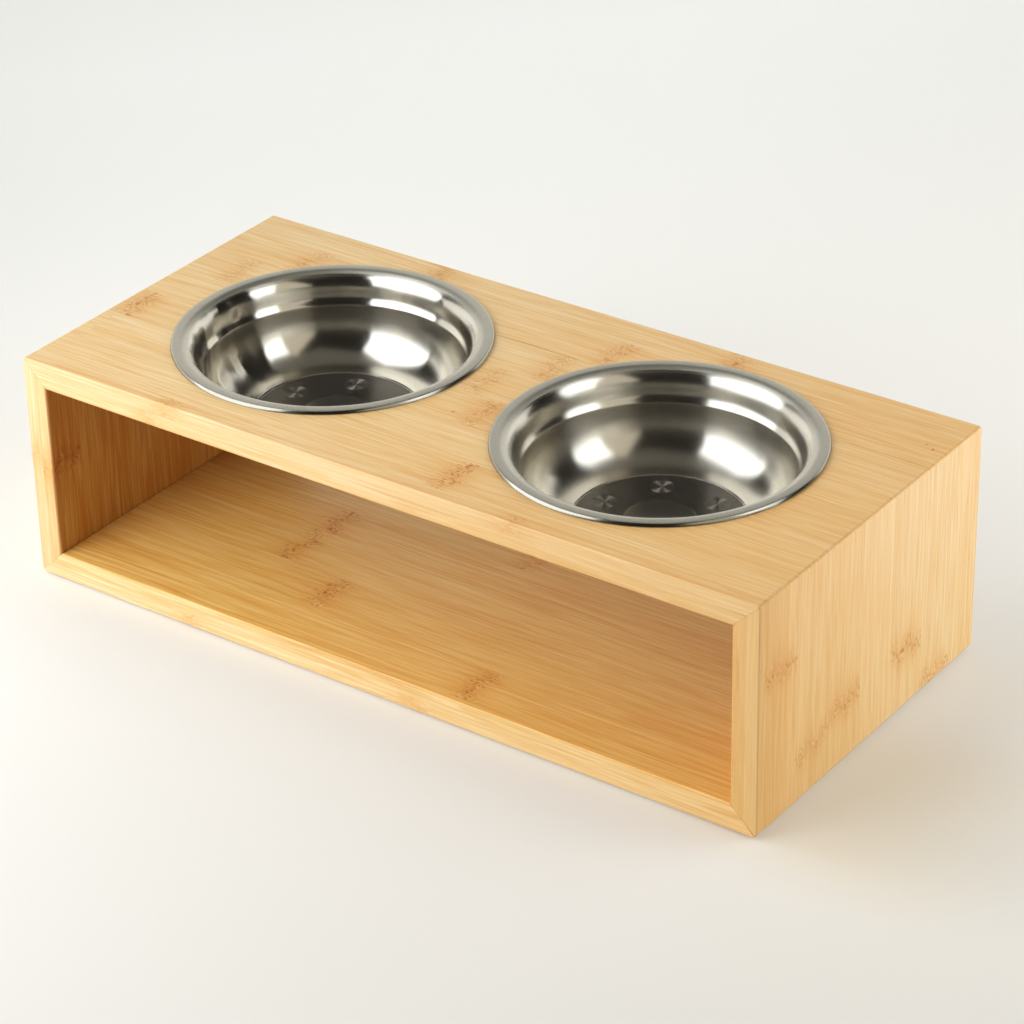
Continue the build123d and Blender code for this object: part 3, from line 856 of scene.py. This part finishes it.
# ================================================================ foot pads
def pad(name, node):
    lo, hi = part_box(node)
    prof = [(0.0, 0.10), (4.4, 0.10), (4.8, 0.02), (5.0, 0.0), (6.5, 0.0), (6.8, 0.06), (6.94, 0.2), (7.0, 0.4), (7.0, 0.9), (6.93, 1.0), (0.0, 1.0)]
    nrm = [(0, -1), (0, -1), (-0.6, -0.8), (0, -1), (0, -1), (0.6, -0.8), (0.9, -0.43), (1, 0), (1, 0), (0, 1), (0, 1)]
    b = Build()
    nn = [(nrm[i], nrm[i + 1]) for i in range(len(prof) - 1)]
    nn[-1] = ((0, 1), (0, 1))
    b.lathe(((lo.x + hi.x) / 2 / MM, (lo.y + hi.y) / 2 / MM), prof, nn, [0] * len(nn), 64)
    ob = b.object(name, [mat_pad])
    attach(ob, "stand")
    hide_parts(node)


for fb in ("front", "back"):
    for lr in ("left", "right"):
        pad(f"rubber_pad_{fb}_{lr}", f"foot_pad_{fb}_{lr}")


# ==================================================================== stage
def floor_material():
    """Pale paper with painted light: it glows a little, and its painted brightness falls off and warms towards the
    front right.
    """
    s = Shader("studio_floor")
    n = s.noise(s.x * 0.004, s.y * 0.004, 0.0, detail=2.0)
    fine = s.noise(s.x * 0.3, s.y * 0.3, 0.0, detail=2.0)
    x, y = s.x * 0.001, s.y * 0.001
    tone = (0.777 - x * 0.332 + y * 0.213 + y * y * 0.083).max(0.62).min(1.06) + (n - 0.5) * 0.02
    k = (tone - 0.62) / 0.44
    tint = s.mix(k.clamp(), (1.0, 0.965, 0.895), (0.990, 1.0, 0.975))
    shade = s.mix(1.0, tint, s.vec(tone, tone, tone), "MULTIPLY")
    # painted light: a warm, wood-coloured bounce beside the right board
    near = (x - 0.230).bell(0.040) * y.step(-0.125, -0.075) * y.step(0.045, -0.015)
    shade = s.mix(near * 0.8, shade, s.vec(tone * 0.97, tone * 0.885, tone * 0.72))
    # painted shadow: a darker patch on the floor to the right of the right board
    beside = (x - 0.285).bell(0.060) * y.step(-0.11, -0.04) * y.step(0.08, 0.0)
    shade = s.mix(beside * 0.20, shade, (0.45, 0.42, 0.38))
    s.set(Base_Color=s.mix(1.0, shade, (0.82, 0.82, 0.82), "MULTIPLY"), Roughness=0.55 + (fine - 0.5) * 0.05,
          Specular_IOR_Level=0.2, Emission_Color=shade)
    s.bsdf.inputs["Emission Strength"].default_value = 0.300
    return s.mat


def sheet_of(name, rows, material):
    """A smooth surface through rows of points, for the stage."""
    me = bpy.data.meshes.new(name)
    w = len(rows[0])
    faces = [(j * w + i, j * w + i + 1, (j + 1) * w + i + 1, (j + 1) * w + i)
             for j in range(len(rows) - 1) for i in range(w - 1)]
    me.from_pydata([p for r in rows for p in r], [], faces)
    me.materials.append(material)
    me.polygons.foreach_set("use_smooth", [True] * len(faces))
    ob = bpy.data.objects.new(name, me)
    bpy.context.scene.collection.objects.link(ob)
    return ob


floor_mat = floor_material()
FAR = 9.0
floor = sheet_of("studio_floor", [[(-FAR, -FAR, 0), (FAR, -FAR, 0)], [(-FAR, FAR, 0), (FAR, FAR, 0)]], floor_mat)

# a lit white sweep stands round the back and the left, 2.4 m away
def glow(name, strength, colour):
    s = Shader(name)
    n = s.noise(s.x * 0.0012, s.y * 0.0012, s.z * 0.0012, detail=2.0)
    s.set(Base_Color=s.mix(n, (0.80, 0.795, 0.775), (0.83, 0.825, 0.81)), Roughness=0.6,
          Emission_Color=s.mix(n, tuple(c * 0.94 for c in colour), colour))
    s.bsdf.inputs["Emission Strength"].default_value = strength
    return s.mat


def sweep(name, az0, az1, radius, height, strength, colour):
    rows = []
    bend = 0.5
    prof = [(radius - bend + bend * math.sin(math.radians(4 * k)), 0.002 + bend * (1 - math.cos(math.radians(4 * k)))) for k in range(23)]
    prof.append((radius, height))
    for r, z in prof:
        rows.append([(r * math.cos(math.radians(az0 + (az1 - az0) * k / 32)), r * math.sin(math.radians(az0 + (az1 - az0) * k / 32)), z)
                     for k in range(33)])
    return sheet_of(name, rows, glow(name, strength, colour))


sweep("sweep_back", 60, 150, 2.4, 1.60, 0.72, (1.0, 0.985, 0.95))
sweep("sweep_left", 150, 205, 2.4, 1.30, 0.80, (1.0, 0.985, 0.95))

# the studio's pale walls, for the camera only: the lamps and cards alone light the stand
studio = sheet_of("studio_walls", [[(7.5 * math.cos(math.radians(7.5 * k)), 7.5 * math.sin(math.radians(7.5 * k)), z) for k in range(49)]
                                   for z in (-0.05, 2.0, 5.0)], glow("studio_walls", 0.80, (1.0, 0.99, 0.96)))
studio.visible_glossy = studio.visible_diffuse = studio.visible_shadow = studio.visible_transmission = False

# ------------------------------------------------------------------- lights
def area(name, centre, u, v, normal, size, radiance, colour=(1, 1, 1), glossy=True):
    """A flat lamp of that radiance.  It shines along normal."""
    data = bpy.data.lights.new(name, "AREA")
    data.shape = "RECTANGLE"
    data.size, data.size_y = size
    data.energy = radiance * size[0] * size[1] * math.pi
    data.color = colour
    ob = bpy.data.objects.new(name, data)
    u, v, n = Vector(u).normalized(), Vector(v).normalized(), Vector(normal).normalized()
    m = Matrix((u, u.cross(n) * -1.0, -n)).transposed()
    if m.determinant() < 0:
        m = Matrix((u, u.cross(n), -n)).transposed()
    ob.matrix_world = Matrix.Translation(centre) @ m.to_4x4()
    ob.visible_camera = False
    ob.visible_glossy = glossy
    bpy.context.scene.collection.objects.link(ob)
    return ob


area("softbox_left", (-0.3001, -0.4325, 0.7080), (-0.4147, 0.7997, -0.4342), (-0.1476, 0.4117, 0.8993),
     (0.8979, 0.4371, -0.0527), (0.960, 1.122), 2.5, (0.955, 0.985, 1.0))
area("softbox_right", (0.7000, 0.1608, 0.6305), (0.5886, -0.5938, 0.5486), (-0.5480, 0.2058, 0.8108),
     (-0.5943, -0.7778, -0.2043), (0.528, 0.864), 1.9, (0.93, 0.975, 1.0))
area("panel_right", (1.0662, 0.0040, 0.7964), (-0.7299, -0.6386, 0.2436), (-0.3794, 0.6751, 0.6327),
     (-0.5685, 0.3694, -0.7351), (1.023, 1.369), 0.75, (1.0, 0.92, 0.76))

area("ceiling", (-0.1, 0.3, 1.9), (1, 0, 0), (0, 1, 0), (0, 0, -1), (1.6, 1.6), 0.13, (1.0, 0.93, 0.80))


def toward(name, centre, target, size, radiance, colour=(1, 1, 1), glossy=False):
    n = (Vector(target) - Vector(centre)).normalized()
    u = n.cross(Vector((0, 0, 1))).normalized() if abs(n.z) < 0.99 else Vector((1, 0, 0))
    return area(name, centre, u, n.cross(u), n, size, radiance, colour, glossy)


# lamps that only fill in the matt light
toward("fill_front_left", (-0.7, -1.6, 0.8), (-0.1, 0.0, 0.05), (1.2, 1.2), 2.86)
toward("fill_top_left", (-0.6, 0.1, 1.3), (-0.3, 0.0, 0.0), (0.8, 0.8), 0.95)
toward("fill_card_right", (0.62, 0.45, 0.25), (0.2, 0.1, 0.06), (0.5, 0.5), 2.8)
toward("fill_back", (-0.5, 1.3, 1.5), (-0.4, 1.0, 0.0), (2.0, 1.0), 0.2)

world = bpy.data.worlds.new("studio")
bpy.context.scene.world = world
world.use_nodes = True
bg = world.node_tree.nodes["Background"]
bg.inputs["Color"].default_value = (0.022, 0.020, 0.017, 1)
bg.inputs["Strength"].default_value = 1.0

# ------------------------------------------------------------------- camera
cam = bpy.data.cameras.new("camera")
cam.sensor_width = 36.0
cam.lens = 127.196
cam.clip_start, cam.clip_end = 0.05, 60.0
cam_ob = bpy.data.objects.new("camera", cam)
X = Vector((0.8143351, 0.5800605, -0.0197015))
Y = Vector((-0.2745964, 0.4149615, 0.8674121))
Z = Vector((0.5113269, -0.7009541, 0.4972002))
cam_ob.matrix_world = Matrix.Translation((0.8545094, -1.1576619, 0.8766078)) @ Matrix((X, Y, Z)).transposed().to_4x4()
bpy.context.scene.collection.objects.link(cam_ob)
bpy.context.scene.camera = cam_ob
bpy.context.scene.view_settings.view_transform = "Standard"
bpy.context.scene.view_settings.look = "None"
